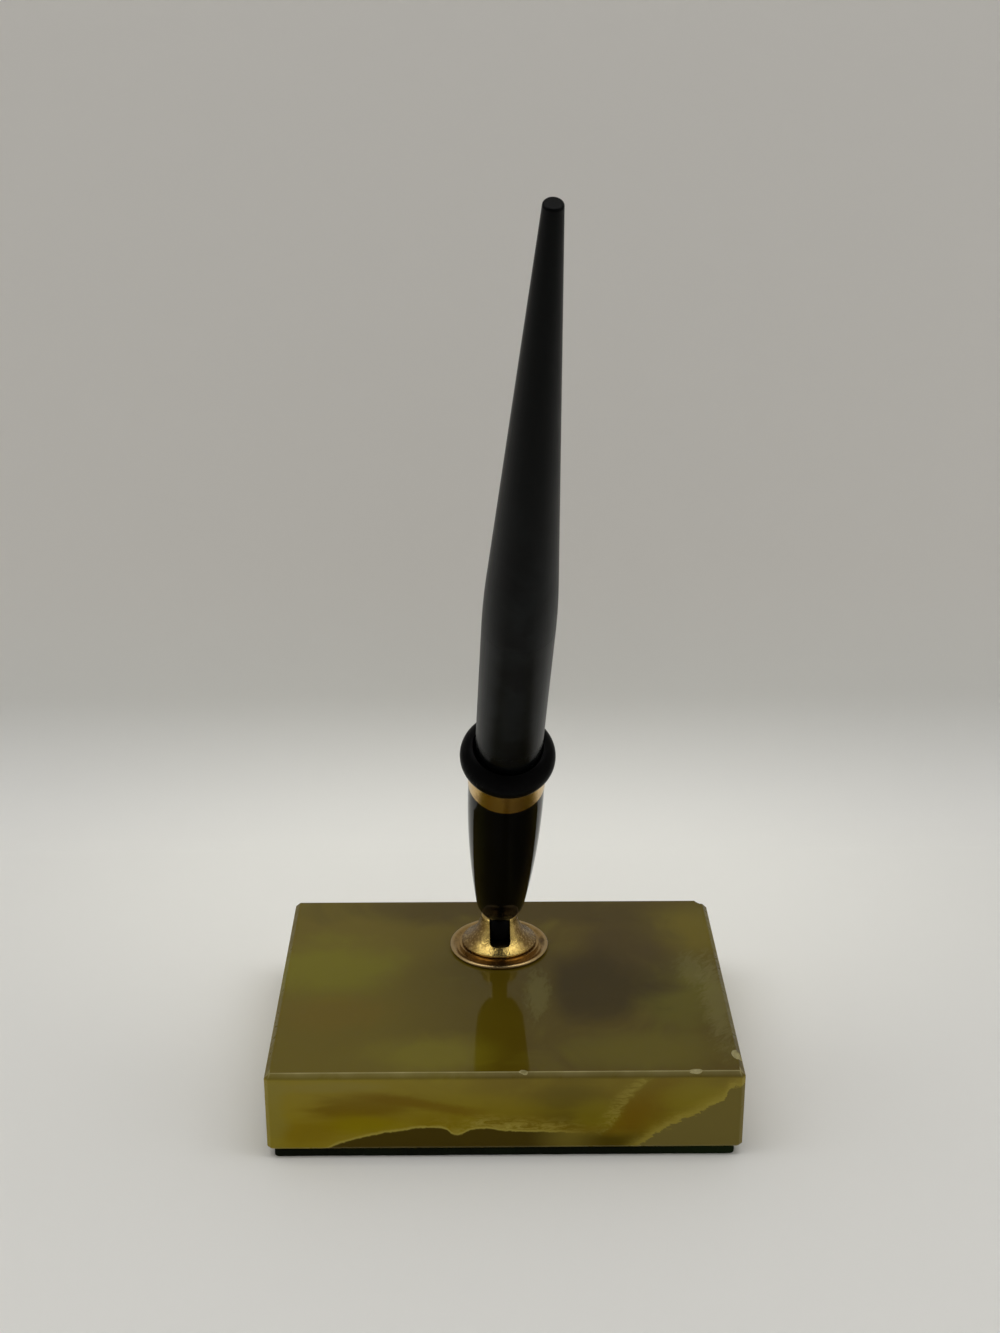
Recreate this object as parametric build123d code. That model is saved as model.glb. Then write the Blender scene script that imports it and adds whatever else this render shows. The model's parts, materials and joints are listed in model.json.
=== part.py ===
from build123d import *
import os
from math import asin, cos, sin, sqrt

# A desk pen stand with its pen: a polished onyx base on a felt pad, a swivel ball socket bolted through
# the stone, a trumpet that holds the pen, and a desk pen with a long tail.
# Millimetres, +Z up, -Y towards the writer. The origin is the middle of the felt's underside.

# Clearances shared by pieces that fit together
fit_gap = 0.05
running_gap = 0.1
hole_clearance = 0.3

# Onyx base and felt pad
slab_width = 101.6
slab_depth = 76.2
slab_height = 18.8
top_bevel = 1.3
edge_bevel = 0.8
felt_thickness = 2.0
felt_side_inset = 1.4
felt_front_inset = 0.8
felt_corner_radius = 1.0
socket_setback = 15.8
socket_offset = -0.7

# Swivel ball, and the saucer and disc springs that press it up into the cup
ball_radius = 4.2
ball_height = 5.9
saucer_undercut = 0.9
saucer_depth = 3.0
saucer_web = 1.0
disc_count = 4
disc_thickness = 0.4
disc_cone = 0.5
disc_hole_radius = 1.6

# Spring housing, a flanged cup on a plinth, with a threaded shank
housing_wall = 1.2
housing_floor = 1.5
plinth_radius = 9.35
plinth_thickness = 0.8
hub_step = 0.4
flange_overhang = 0.8
flange_thickness = 0.6
shank_radius = 3.0
shank_proud = 1.0

# Swivel cup, a slotted bell, and the retainer pressed into it under the housing's flange
mouth_rise = 2.6
mouth_wall = 0.7
mouth_round = 0.22
retainer_thickness = 0.5
retainer_width = 1.65
skirt_radius = 8.75
skirt_round = 0.35
flare_hollow = 1.0
slot_clearance = 0.6
slot_low = 3.2
slot_corner = 0.8

# Trim ring on the slab
ring_thickness = 0.5
ring_rim_radius = 0.45
ring_margin = 2.85
ring_slope = 1.1

# Washers and nut below the slab
washer_bearing = 2.4
washer_thickness = 1.0
lock_washer_width = 2.3
lock_washer_thickness = 1.0
lock_washer_split = 0.8
nut_width = 10.0
nut_height = 3.0
recess_clearance = 0.8
recess_room = 0.6

# Stem that carries the trumpet, distances along the pen's axis from the ball's centre
lean_angle = 33.0
lean_swing = 1.95
stem_radius = 1.8
stem_reach = 7.3
stem_thread_radius = 1.5
stem_washer_radius = 3.6
stem_washer_thickness = 0.6
stem_nut_width = 5.0
stem_nut_height = 2.4
stem_proud = 0.8

# Trumpet body, band, lip and liner
body_end_radius = 2.8
body_shoulder_radius = 5.62
body_shoulder_rise = 5.4
body_swell = 0.72
body_wall = 0.87
body_floor = 3.0
cavity_floor_radius = 4.0
band_height = 6.55
band_proud = 0.08
lip_overhang = 1.75
lip_widest = 3.06
lip_height = 6.66
lip_clearance = 0.4
spigot_wall = 0.7
spigot_grip = 6.5
liner_wall = 0.7
liner_clearance = 0.4
seat_depth = 1.0
seat_gap = 0.15

# Pen's lean to one side in the trumpet, about its seat
pen_cant = 0.95

# Pen's nib, feed and grip section
nib_room = 14.8
nib_radius = 3.2
nib_thickness = 0.35
nib_exposed = 20.0
nib_seat_depth = 12.0
nib_shoulder = 13.0
nib_flank_slope = 0.18
nib_tip_width = 0.5
nib_hole_radius = 0.6
nib_slit = 0.2
feed_step_back = 4.0
feed_fin_count = 6
feed_fin_gap = 0.5
feed_fin_pitch = 1.1
feed_fin_depth = 1.2
section_length = 20.0
section_radius = 5.2
section_lip_radius = 4.7
section_lip_height = 0.8
section_hollow = 0.4
ink_channel_radius = 0.9

# Pen barrel and tail
barrel_length = 48.8
barrel_nose_step = 0.7
barrel_nose_length = 6.0
barrel_radius = 6.83
barrel_top_radius = 6.92
tail_length = 98.7
tail_blend = 13.0
tail_blend_drop = 0.4
tail_tip_radius = 1.62
tail_tip_round = 0.5
seam_gap = 0.03
tail_spigot_length = 5.0
tail_spigot_wall = 1.4
tail_socket_depth = 4.5

# Filler: a tube drawn out with the tail, a seal it slides through, and the guarded ink sac
tube_radius = 3.9
tube_wall = 0.4
tube_to_barrel = 0.3
tube_low_room = 1.2
plug_depth = 3.3
plug_screw_radius = 1.2
plug_screw_length = 6.0
seal_wire_radius = 0.62
seal_below_spigot = 2.2
guard_clearance = 0.35
guard_wall = 0.4
guard_top_room = 3.5
guard_hole_radius = 0.8
sac_wall = 0.6
sac_clearance = 0.15
sac_top_room = 2.0
section_spigot_length = 7.0
section_spigot_step = 0.55
section_web = 1.0
nipple_short = 0.5

# Heights of the stack, from the table up
slab_bottom = felt_thickness
slab_top = slab_bottom + slab_height
recess_depth = washer_thickness + lock_washer_thickness + nut_height + shank_proud + recess_room

# Heights of the socket, from the slab's top
seat_radius = ball_radius + running_gap
plinth_high = ring_thickness + plinth_thickness
skirt_low = plinth_high + running_gap
retainer_high = skirt_low + retainer_thickness
flange_low = retainer_high + running_gap
flange_high = flange_low + flange_thickness
cavity_top = flange_high + running_gap
mouth_high = ball_height + mouth_rise
saucer_low = ball_height - seat_radius - saucer_web
spring_floor = saucer_low - disc_count * (disc_cone + disc_thickness)
washer_top = recess_depth - slab_height
lock_washer_top = washer_top - washer_thickness
nut_top = lock_washer_top - lock_washer_thickness
shank_low = nut_top - nut_height - shank_proud

# Radii of the socket, from the ball out
saucer_radius = ball_radius - saucer_undercut
spring_bore = saucer_radius + running_gap
housing_radius = spring_bore + housing_wall
fixing_hole_radius = housing_radius + hole_clearance
hub_radius = housing_radius + hub_step
flange_radius = hub_radius + flange_overhang
cavity_radius = flange_radius + running_gap
retainer_bore = hub_radius + running_gap
retainer_radius = retainer_bore + retainer_width
ring_radius = skirt_radius + ring_margin
mouth_bore = sqrt(seat_radius ** 2 - mouth_rise ** 2)
slot_width = 2 * (stem_radius + slot_clearance)
washer_radius = fixing_hole_radius + washer_bearing

# Distances along the pen's axis
floor_top = stem_reach + body_floor
stem_nut_low = floor_top + stem_washer_thickness
stem_end = stem_nut_low + stem_nut_height + stem_proud
nib_tip = stem_end + nib_room
section_low = nib_tip + nib_exposed
nib_root = section_low + nib_seat_depth
barrel_low = section_low + section_length
liner_top = barrel_low - seat_gap
liner_low = stem_end
band_high = barrel_low + seat_depth
body_high = band_high - band_height
spigot_low = body_high - spigot_grip
seam = barrel_low + barrel_length
tail_low = seam - tail_spigot_length
tail_floor = seam + tail_socket_depth
tail_tip = seam + tail_length
section_web_top = barrel_low + section_web
section_top = barrel_low + section_spigot_length
nipple_top = section_top - nipple_short
guard_top = tail_floor - plug_depth - guard_top_room
sac_top = guard_top - guard_wall - sac_top_room
seal_middle = tail_low - seal_below_spigot

# Radii about the pen's axis, from the pen out
nib_bore = nib_radius + fit_gap
liner_bore = section_radius + liner_clearance
liner_radius = liner_bore + liner_wall
spigot_bore = liner_radius + fit_gap
spigot_radius = spigot_bore + spigot_wall
band_bore = spigot_radius + fit_gap
body_radius = band_bore + body_wall
band_radius = body_radius + band_proud
lip_radius = band_radius + lip_overhang
lip_bore = barrel_radius + lip_clearance
nose_radius = section_radius + barrel_nose_step
section_spigot_radius = section_radius - section_spigot_step
tube_bore = tube_radius - tube_wall
barrel_bore = tube_radius + tube_to_barrel
guard_radius = tube_bore - guard_clearance
guard_bore = guard_radius - guard_wall
sac_radius = guard_bore - sac_clearance
sac_bore = sac_radius - sac_wall
nipple_radius = sac_bore - fit_gap
tail_bore = tube_radius + fit_gap
tail_spigot_radius = tail_bore + tail_spigot_wall
tail_spigot_bore = tail_spigot_radius + running_gap
seal_centre_radius = tube_radius + fit_gap + seal_wire_radius


def at(radius, height):
    """A point of a turned outline."""
    return (radius, 0, height)


def turned(outline):
    """The solid that a closed outline in the XZ plane sweeps about Z."""
    return revolve(make_face(outline), Axis.Z)


def turned_corners(*corners):
    """A turned solid whose outline is straight between its corners."""
    return turned(Polyline(*[at(*corner) for corner in corners], close=True))


def disc(radius, low, high):
    """A round bar about Z between two heights."""
    return Pos(0, 0, low) * Cylinder(radius, high - low, align=(Align.CENTER, Align.CENTER, Align.MIN))


def tube(bore, radius, low, high):
    """A plain ring or tube about Z between two heights."""
    return turned_corners((bore, low), (radius, low), (radius, high), (bore, high))


def hexagon_nut(width, bore, low, high):
    """A hexagon nut, measured across its flats."""
    blank = extrude(RegularPolygon(width / 2, 6, major_radius=False), high - low)
    return Pos(0, 0, low) * blank - disc(bore, low, high)


def bowed(start, end, bow):
    """An arc between two outline points, bowed outwards at its middle by the given amount."""
    middle = at((start[0] + end[0]) / 2 + bow, (start[2] + end[2]) / 2)
    return ThreePointArc(start, middle, end)


# Base

def onyx_base():
    middle = (Align.CENTER, Align.CENTER, Align.MIN)
    slab = Box(slab_width, slab_depth, slab_height, align=middle)
    slab = chamfer(slab.edges().filter_by(Axis.Z), edge_bevel)
    slab = chamfer(slab.faces().sort_by(Axis.Z)[0].edges(), edge_bevel)
    slab = chamfer(slab.faces().sort_by(Axis.Z)[-1].edges(), top_bevel)
    drilled = disc(fixing_hole_radius, 0, slab_height)
    recess = disc(washer_radius + recess_clearance, 0, recess_depth)
    return Pos(0, 0, slab_bottom) * (slab - Pos(socket_offset, socket_setback, 0) * (drilled + recess))


def felt_pad():
    outline = RectangleRounded(
        slab_width - 2 * felt_side_inset, slab_depth - 2 * felt_front_inset, felt_corner_radius)
    return extrude(outline, felt_thickness)


def trim_ring():
    """A thin gilt washer whose outer edge is rolled up into a bead."""
    bead_middle = ring_radius - ring_rim_radius
    bead_high = 2 * ring_rim_radius
    bead = ThreePointArc(at(bead_middle, 0), at(ring_radius, ring_rim_radius), at(bead_middle, bead_high))
    rest = Polyline(
        at(bead_middle, bead_high),
        at(bead_middle - ring_slope, ring_thickness),
        at(housing_radius + running_gap, ring_thickness),
        at(housing_radius + running_gap, 0),
        at(bead_middle, 0),
    )
    return turned(bead + rest)


def spring_housing():
    return turned_corners(
        (0, shank_low),
        (shank_radius, shank_low),
        (shank_radius, spring_floor - housing_floor),
        (housing_radius, spring_floor - housing_floor),
        (housing_radius, ring_thickness),
        (plinth_radius, ring_thickness),
        (plinth_radius, plinth_high),
        (hub_radius, plinth_high),
        (hub_radius, flange_low),
        (flange_radius, flange_low),
        (flange_radius, flange_high),
        (spring_bore, flange_high),
        (spring_bore, spring_floor),
        (0, spring_floor),
    )


def flat_washer():
    return tube(shank_radius + fit_gap, washer_radius, lock_washer_top, washer_top)


def lock_washer():
    """A spring washer, split on one side."""
    radius = shank_radius + lock_washer_width
    ring = tube(shank_radius + fit_gap, radius, nut_top, lock_washer_top)
    split = Box(2 * radius, lock_washer_split, 2 * slab_height, align=(Align.MIN, Align.CENTER, Align.CENTER))
    return ring - split


def fixing_nut():
    return hexagon_nut(nut_width, shank_radius + fit_gap, nut_top - nut_height, nut_top)


def disc_springs():
    """Dished springs stacked cone against cone below the saucer."""
    pitch = disc_cone + disc_thickness
    springs = []
    for index in range(disc_count):
        low = spring_floor + index * pitch
        outer_low = low + disc_cone * (index % 2)
        hole_low = low + disc_cone * ((index + 1) % 2)
        springs.append(turned_corners(
            (disc_hole_radius, hole_low),
            (saucer_radius, outer_low),
            (saucer_radius, outer_low + disc_thickness),
            (disc_hole_radius, hole_low + disc_thickness),
        ))
    return Compound(springs)


def friction_saucer():
    """The round shoe that rubs on the underside of the ball."""
    shoe = disc(saucer_radius, saucer_low, ball_height - saucer_depth)
    return shoe - Pos(0, 0, ball_height) * Sphere(seat_radius)


# Swivel

def swivel_cup():
    """A flared bell with a ball seat in its mouth and a slot for the stem."""
    mouth_radius = mouth_bore + mouth_wall
    skirt_high = skirt_low + 2 * skirt_round
    rim = skirt_radius - skirt_round
    half_seat = asin(mouth_rise / seat_radius) / 2
    seat_middle = at(seat_radius * cos(half_seat), ball_height + seat_radius * sin(half_seat))
    bead = ThreePointArc(at(rim, skirt_low), at(skirt_radius, skirt_low + skirt_round), at(rim, skirt_high))
    flare = bowed(at(rim, skirt_high), at(mouth_radius, mouth_high - mouth_round), -flare_hollow)
    mouth = Polyline(
        at(mouth_radius, mouth_high - mouth_round),
        at(mouth_radius - mouth_round, mouth_high),
        at(mouth_bore, mouth_high),
    )
    seat = ThreePointArc(at(mouth_bore, mouth_high), seat_middle, at(seat_radius, ball_height))
    inside = Polyline(
        at(seat_radius, ball_height),
        at(cavity_radius, cavity_top),
        at(cavity_radius, retainer_high),
        at(retainer_radius + fit_gap, retainer_high),
        at(retainer_radius + fit_gap, skirt_low),
        at(rim, skirt_low),
    )
    bell = turned(bead + flare + mouth + seat + inside)
    slot = Pos(0, 0, slot_low) * Box(
        slot_width, ring_radius, mouth_high, align=(Align.CENTER, Align.MAX, Align.MIN))
    slot = fillet(slot.edges().filter_by(Axis.Y).sort_by(Axis.Z)[:2], slot_corner)
    return bell - slot


def cup_retainer():
    """The ring that holds the bell down under the housing's flange."""
    return tube(retainer_bore, retainer_radius, skirt_low, retainer_high)


def swivel_ball():
    """The ball, its stem and the thread that goes through the trumpet's floor."""
    stem = disc(stem_radius, 0, stem_reach) + disc(stem_thread_radius, 0, stem_end)
    return Sphere(ball_radius) + stem


# Trumpet

def cavity_radius_at(distance):
    """The radius of the trumpet body's tapered hollow, at a distance along the axis."""
    slope = (spigot_bore - cavity_floor_radius) / (spigot_low - floor_top)
    return cavity_floor_radius + slope * (distance - floor_top)


def trumpet_body():
    shoulder = at(body_shoulder_radius, stem_reach + body_shoulder_rise)
    wall = bowed(shoulder, at(body_radius, body_high), body_swell)
    end = TangentArc(shoulder, at(body_end_radius, stem_reach), tangent=-(wall % 0))
    inside = Polyline(
        at(body_radius, body_high),
        at(band_bore, body_high),
        at(band_bore, spigot_low),
        at(spigot_bore, spigot_low),
        at(cavity_floor_radius, floor_top),
        at(stem_thread_radius + fit_gap, floor_top),
        at(stem_thread_radius + fit_gap, stem_reach),
        at(body_end_radius, stem_reach),
    )
    return turned(wall + end + inside)


def trumpet_band():
    return tube(band_bore, band_radius, body_high, band_high)


def trumpet_lip():
    """A fat rounded bead with a funnel inside it and a spigot that holds the band on the body."""
    lip_high = band_high + lip_height
    bead = ThreePointArc(
        at(band_radius, band_high), at(lip_radius, band_high + lip_widest), at(lip_bore, lip_high))
    inside = Polyline(
        at(lip_bore, lip_high),
        at(lip_bore, barrel_low + barrel_nose_length),
        at(spigot_bore, barrel_low),
        at(spigot_bore, spigot_low),
        at(spigot_radius, spigot_low),
        at(spigot_radius, band_high),
        at(band_radius, band_high),
    )
    return turned(bead + inside)


def socket_liner():
    """A sleeve that the pen's shoulder seats on, tapered to the trumpet's hollow."""
    low_radius = cavity_radius_at(liner_low) - fit_gap
    return turned_corners(
        (low_radius - liner_wall, liner_low),
        (low_radius, liner_low),
        (liner_radius, spigot_low),
        (liner_radius, liner_top),
        (liner_bore, liner_top),
        (liner_bore, spigot_low),
    )


def stem_washer():
    return tube(stem_thread_radius + fit_gap, stem_washer_radius, floor_top, stem_nut_low)


def stem_nut():
    return hexagon_nut(
        stem_nut_width, stem_thread_radius + fit_gap, stem_nut_low, stem_nut_low + stem_nut_height)


# Pen

def nib():
    """A leaf of gilt metal, curved round the feed, with a slit up to its breather hole."""
    shoulder = nib_tip + nib_shoulder
    sheet = tube(nib_radius - nib_thickness, nib_radius, nib_tip, nib_root)
    half_tip = nib_tip_width / 2
    left = Spline(
        (-half_tip, 0, nib_tip), (-nib_radius, 0, shoulder), tangents=((-nib_flank_slope, 0, 1), (0, 0, 1)))
    right = mirror(left, Plane.YZ)
    edges = Polyline(
        (-nib_radius, 0, shoulder),
        (-nib_radius, 0, nib_root),
        (nib_radius, 0, nib_root),
        (nib_radius, 0, shoulder),
    )
    leaf = make_face(left + right + edges + Line((-half_tip, 0, nib_tip), (half_tip, 0, nib_tip)))
    blank = sheet & extrude(leaf, nib_radius, dir=(0, -1, 0))
    hole_height = shoulder - 2 * nib_hole_radius
    hole = Pos(0, 0, hole_height) * Rot(90, 0, 0) * Cylinder(
        nib_hole_radius, nib_radius, align=(Align.CENTER, Align.CENTER, Align.MIN))
    slit = Pos(0, 0, nib_tip) * Box(
        nib_slit, 2 * nib_radius, hole_height - nib_tip, align=(Align.CENTER, Align.CENTER, Align.MIN))
    return blank - hole - slit


def feed():
    """A comb-finned bar under the nib, cut away to a thin beak behind the nib's tip."""
    radius = nib_radius - nib_thickness - fit_gap
    beak = nib_tip + feed_step_back
    bar = disc(radius, beak, nib_root)
    cheek = section_low - feed_fin_gap
    side = Polyline(
        (0, -radius, beak),
        (0, -radius / 2, beak),
        (0, radius, cheek - feed_fin_count * feed_fin_pitch),
        (0, radius, nib_root),
        (0, -radius, nib_root),
        close=True,
    )
    bar = bar & extrude(make_face(side), radius, both=True)
    gap = Box(2 * radius, feed_fin_depth, feed_fin_gap, align=(Align.CENTER, Align.MAX, Align.MAX))
    for index in range(feed_fin_count):
        bar -= Pos(0, radius, cheek - index * feed_fin_pitch) * gap
    return bar


def grip_section():
    """The finger grip, with the nib's bore below and the sac's nipple in its spigot above."""
    lip_top = section_low + section_lip_height
    grip = bowed(at(section_lip_radius, lip_top), at(section_radius, barrel_low), -section_hollow)
    rest = Polyline(
        at(section_radius, barrel_low),
        at(section_spigot_radius, barrel_low),
        at(section_spigot_radius, section_top),
        at(guard_radius + fit_gap, section_top),
        at(guard_radius + fit_gap, section_web_top),
        at(nipple_radius, section_web_top),
        at(nipple_radius, nipple_top),
        at(ink_channel_radius, nipple_top),
        at(ink_channel_radius, nib_root),
        at(nib_bore, nib_root),
        at(nib_bore, section_low),
        at(section_lip_radius, section_low),
        at(section_lip_radius, lip_top),
    )
    return turned(grip + rest)


def pen_barrel():
    section_socket = section_spigot_radius + fit_gap
    groove = seal_centre_radius + seal_wire_radius + fit_gap
    groove_half = seal_wire_radius + fit_gap
    return turned_corners(
        (nose_radius, barrel_low),
        (barrel_radius, barrel_low + barrel_nose_length),
        (barrel_top_radius, seam),
        (tail_spigot_bore, seam),
        (tail_spigot_bore, tail_low - running_gap),
        (barrel_bore, tail_low - running_gap),
        (barrel_bore, seal_middle + groove_half),
        (groove, seal_middle + groove_half),
        (groove, seal_middle - groove_half),
        (barrel_bore, seal_middle - groove_half),
        (barrel_bore, section_top + fit_gap),
        (section_socket, section_top + fit_gap),
        (section_socket, barrel_low),
    )


def barrel_seal():
    return Pos(0, 0, seal_middle) * Torus(seal_centre_radius, seal_wire_radius)


def pen_tail():
    """The long blunt taper, with a spigot for the barrel and a socket for the filler tube."""
    shoulder = seam + seam_gap
    tip_round_low = tail_tip - tail_tip_round
    tip_flat = tail_tip_radius - tail_tip_round
    lean_in = tail_tip_round * sqrt(0.5)
    taper_start = at(barrel_top_radius - tail_blend_drop, shoulder + tail_blend)
    taper = Line(taper_start, at(tail_tip_radius, tip_round_low))
    blend = TangentArc(taper_start, at(barrel_top_radius, shoulder), tangent=-(taper % 0))
    tip = ThreePointArc(
        at(tail_tip_radius, tip_round_low),
        at(tip_flat + lean_in, tip_round_low + lean_in),
        at(tip_flat, tail_tip),
    )
    inside = Polyline(
        at(tip_flat, tail_tip),
        at(0, tail_tip),
        at(0, tail_floor + plug_screw_length + fit_gap),
        at(plug_screw_radius + fit_gap, tail_floor + plug_screw_length + fit_gap),
        at(plug_screw_radius + fit_gap, tail_floor),
        at(tail_bore, tail_floor),
        at(tail_bore, tail_low),
        at(tail_spigot_radius, tail_low),
        at(tail_spigot_radius, shoulder),
        at(barrel_top_radius, shoulder),
    )
    return turned(blend + taper + tip + inside)


def filler_tube():
    return tube(tube_bore, tube_radius, section_top + tube_low_room, tail_floor)


def tail_plug():
    """The plug in the tube's end, with the screw that holds it in the tail."""
    plug = disc(tube_bore - fit_gap, tail_floor - plug_depth, tail_floor)
    return plug + disc(plug_screw_radius, tail_floor, tail_floor + plug_screw_length)


def sac_guard():
    """A metal tube round the sac, open to the air through a hole in its end."""
    return turned_corners(
        (guard_bore, section_web_top),
        (guard_radius, section_web_top),
        (guard_radius, guard_top),
        (guard_hole_radius, guard_top),
        (guard_hole_radius, guard_top - guard_wall),
        (guard_bore, guard_top - guard_wall),
    )


def ink_sac():
    """A rubber tube pushed over the nipple, with a domed end."""
    dome_low = sac_top - sac_radius
    outer = ThreePointArc(
        at(sac_radius, dome_low),
        at(sac_radius * sqrt(0.5), dome_low + sac_radius * sqrt(0.5)),
        at(0, sac_top),
    )
    inner = ThreePointArc(
        at(0, sac_top - sac_wall),
        at(sac_bore * sqrt(0.5), dome_low + sac_bore * sqrt(0.5)),
        at(sac_bore, dome_low),
    )
    sides = Polyline(
        at(sac_bore, dome_low),
        at(sac_bore, section_web_top),
        at(sac_radius, section_web_top),
        at(sac_radius, dome_low),
    )
    return turned(outer + Line(at(0, sac_top), at(0, sac_top - sac_wall)) + inner + sides)


socket = Pos(socket_offset, socket_setback, slab_top) * Rot(0, 0, lean_swing)
lean = socket * Pos(0, 0, ball_height) * Rot(lean_angle, 0, 0)
pen_lean = lean * Pos(0, 0, barrel_low) * Rot(0, pen_cant, 0) * Pos(0, 0, -barrel_low)
base_pieces = [onyx_base, felt_pad]
socket_pieces = [
    trim_ring, spring_housing, flat_washer, lock_washer, fixing_nut,
    disc_springs, friction_saucer, swivel_cup, cup_retainer]
trumpet_pieces = [
    swivel_ball, trumpet_body, trumpet_band, trumpet_lip, socket_liner, stem_washer, stem_nut]
pen_pieces = [
    nib, feed, grip_section, pen_barrel, barrel_seal, pen_tail, filler_tube, tail_plug, sac_guard, ink_sac]

os.makedirs("parts", exist_ok=True)
for place, pieces in (
    (Pos(0, 0, 0), base_pieces),
    (socket, socket_pieces),
    (lean, trumpet_pieces),
    (pen_lean, pen_pieces),
):
    for piece in pieces:
        export_step(place * piece(), f"parts/{piece.__name__}.step")
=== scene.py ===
import json
from math import cos, pi, sin

import bmesh
import bpy
from mathutils import Matrix, Vector, noise


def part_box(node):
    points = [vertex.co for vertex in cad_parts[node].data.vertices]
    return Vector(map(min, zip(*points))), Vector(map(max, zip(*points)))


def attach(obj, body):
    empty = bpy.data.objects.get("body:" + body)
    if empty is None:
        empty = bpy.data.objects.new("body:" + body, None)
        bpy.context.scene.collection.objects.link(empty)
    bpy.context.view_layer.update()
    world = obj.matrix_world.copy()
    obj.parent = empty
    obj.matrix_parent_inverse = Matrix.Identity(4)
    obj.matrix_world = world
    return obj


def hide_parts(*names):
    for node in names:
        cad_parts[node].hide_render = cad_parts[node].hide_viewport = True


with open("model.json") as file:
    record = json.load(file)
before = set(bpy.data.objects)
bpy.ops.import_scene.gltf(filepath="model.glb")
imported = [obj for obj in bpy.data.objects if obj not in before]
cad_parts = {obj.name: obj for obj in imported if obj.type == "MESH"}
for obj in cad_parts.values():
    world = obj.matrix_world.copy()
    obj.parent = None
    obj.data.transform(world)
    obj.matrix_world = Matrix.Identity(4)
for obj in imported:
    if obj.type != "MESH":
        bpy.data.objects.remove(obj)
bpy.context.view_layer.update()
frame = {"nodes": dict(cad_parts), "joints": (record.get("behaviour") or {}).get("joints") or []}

nodes = frame["nodes"]
pen_axis = Vector(next(joint for joint in frame["joints"] if joint["name"] == "pen_lift")["axis"])

# Sizes and places are in metres, in the frame's axes: +Z up, -Y towards the writer

# Onyx slab
slab_top_bevel = 0.0011
slab_edge_bevel = 0.0008
slab_softness = 0.00035
hole_radius = 0.0049
recess_radius = 0.0081
recess_depth = 0.0066
cutter_overrun = 0.001

# Felt pad
felt_corner = 0.001
felt_corner_steps = 6
felt_point_spacing = 0.0015
felt_ripple = 0.0003

# Stage
wall_distance = 0.140
wall_height = 2.0
wall_reach = 3.0
bend_radius = 0.034
bend_steps = 12
floor_height = 0.00005
floor_reach = 20.0

# Overhead light
light_width = 2.4
light_depth = 0.9
light_height = 1.2
light_watts = 15.0

# Camera: its turns in radians, its lens and sensor in millimetres
camera_place = (-0.004708, -0.367985, 0.242688)
camera_pitch = 0.3747
camera_yaw = 0.011
camera_lens = 49.93
camera_sensor_height = 36


# Helpers for node materials

def new_material(name, **settings):
    """A material, its node tree and its shader, with plain values set on the shader's own sockets."""
    material = bpy.data.materials.new(name)
    material.use_nodes = True
    tree = material.node_tree
    shader = tree.nodes["Principled BSDF"]
    for socket, value in settings.items():
        shader.inputs[socket.replace("_", " ")].default_value = value
    return material, tree, shader


def set_input(tree, socket, value):
    """Gives a socket a plain value or another node's output."""
    if isinstance(value, bpy.types.NodeSocket):
        tree.links.new(value, socket)
    else:
        socket.default_value = value


def add(tree, kind, inputs=None, **settings):
    """A node with its settings and inputs."""
    made = tree.nodes.new("ShaderNode" + kind)
    for key, value in settings.items():
        setattr(made, key, value)
    for key, value in (inputs or {}).items():
        set_input(tree, made.inputs[key], value)
    return made


def calculate(tree, operation, *values, clamp=False):
    return add(tree, "Math", dict(enumerate(values)), operation=operation, use_clamp=clamp).outputs[0]


def plus(tree, first, second, clamp=False):
    return calculate(tree, "ADD", first, second, clamp=clamp)


def minus(tree, first, second, clamp=False):
    return calculate(tree, "SUBTRACT", first, second, clamp=clamp)


def product(tree, *factors):
    result = factors[0]
    for factor in factors[1:]:
        result = calculate(tree, "MULTIPLY", result, factor)
    return result


def scaled(tree, value, factor, offset):
    """A value times a factor, plus an offset."""
    return calculate(tree, "MULTIPLY_ADD", value, factor, offset)


def centred(tree, value, span):
    """Noise about a half, moved to lie about zero."""
    return product(tree, minus(tree, value, 0.5), span)


def between(tree, value, start, full):
    """Rises smoothly from 0 at the start to 1 where it is full; the start may be the greater."""
    limits = {"Value": value, "From Min": start, "From Max": full}
    return add(tree, "MapRange", limits, interpolation_type="SMOOTHSTEP").outputs["Result"]


def mix(tree, factor, first, second):
    """One colour laid over another."""
    mixed = add(tree, "Mix", data_type="RGBA")
    for identifier, value in (("Factor_Float", factor), ("A_Color", first), ("B_Color", second)):
        set_input(tree, next(item for item in mixed.inputs if item.identifier == identifier), value)
    return next(item for item in mixed.outputs if item.identifier == "Result_Color")


def cloud(tree, place, scale, detail=2.0, rough=0.5, twist=0.0):
    made = add(tree, "TexNoise", {
        "Vector": place, "Scale": scale, "Detail": detail, "Roughness": rough, "Distortion": twist})
    return made.outputs["Fac"]


def stretched(tree, place, x, y, z):
    return add(tree, "VectorMath", {0: place, 1: (x, y, z)}, operation="MULTIPLY").outputs[0]


def separate(tree, place):
    return add(tree, "SeparateXYZ", {0: place}).outputs


def object_place(tree):
    return add(tree, "TexCoord").outputs["Object"]


def along_pen(tree):
    """Object coordinates turned so that their third value runs along the pen."""
    turn = pen_axis.rotation_difference(Vector((0, 0, 1))).to_euler()
    return add(tree, "Mapping", {"Vector": object_place(tree), "Rotation": turn}).outputs[0]


def paint(tree, shader, colour, rough=None):
    """Links a colour to the shader, and a roughness where it varies."""
    tree.links.new(colour, shader.inputs["Base Color"])
    if rough is not None:
        tree.links.new(rough, shader.inputs["Roughness"])


def bump(tree, shader, height, distance, strength):
    made = add(tree, "Bump", {"Height": height, "Distance": distance, "Strength": strength})
    tree.links.new(made.outputs["Normal"], shader.inputs["Normal"])


def rgb(red, green, blue):
    """A linear colour from values out of 255, as a screen shows them."""
    def linear(value):
        value /= 255
        return value / 12.92 if value <= 0.04045 else ((value + 0.055) / 1.055) ** 2.4
    return (linear(red), linear(green), linear(blue), 1.0)


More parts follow.
